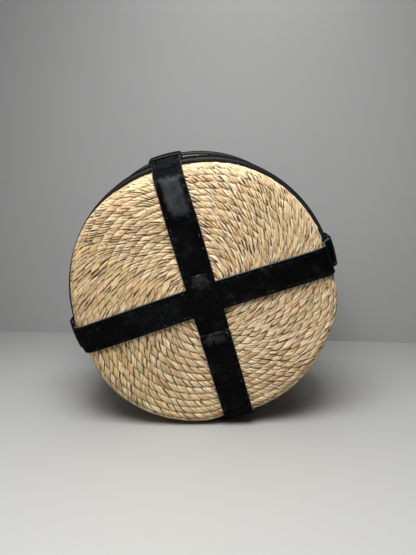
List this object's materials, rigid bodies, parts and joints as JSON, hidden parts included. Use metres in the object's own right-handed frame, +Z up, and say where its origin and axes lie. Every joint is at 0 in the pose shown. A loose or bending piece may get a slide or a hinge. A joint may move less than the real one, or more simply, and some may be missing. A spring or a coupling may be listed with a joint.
{
  "type": "straw bucket bag",
  "caption": "Bucket bag of coiled straw rope with a crossed leather harness over its base, a belt, a bound rim, a lining and a swinging leather handle, lying on its side.",
  "frame": {"origin": "on the table, under the middle of the part's box as it lies", "axes": "+Z up from the table, -Y the way the base faces, +X to the right for someone who looks at the base"},
  "size_m": [0.2466, 0.2406, 0.2319],
  "materials": {
    "straw": "twisted straw rope, matt",
    "lining_cloth": "plain cotton",
    "strap_leather": "black, polished",
    "trim_leather": "black, satin",
    "rivet_metal": "aged brass"
  },
  "bodies": {
    "bag": {"straw_body": "straw", "lining": "lining_cloth", "rim_binding": "trim_leather", "base_belt": "trim_leather", "sling_strap": "strap_leather", "brace_strap_bottom": "strap_leather", "brace_strap_top": "strap_leather", "centre_patch": "strap_leather", "keeper_bottom": "trim_leather", "keeper_top": "trim_leather", "keeper_right": "trim_leather", "keeper_left": "trim_leather", "rivet_right": "rivet_metal", "rivet_burr_right": "rivet_metal", "washer_right": "trim_leather", "rivet_left": "rivet_metal", "rivet_burr_left": "rivet_metal", "washer_left": "trim_leather"},
    "handle": {"handle_backing": "strap_leather", "handle_outer": "strap_leather"}
  },
  "joints": [
    {"name": "handle_swing", "type": "hinge", "parent": "bag", "child": "handle", "pos_m": [-0.00417, 0.01996, 0.11269], "axis": [0.9542, -0.0339, 0.2971], "range_deg": [-38, 146]}
  ]
}
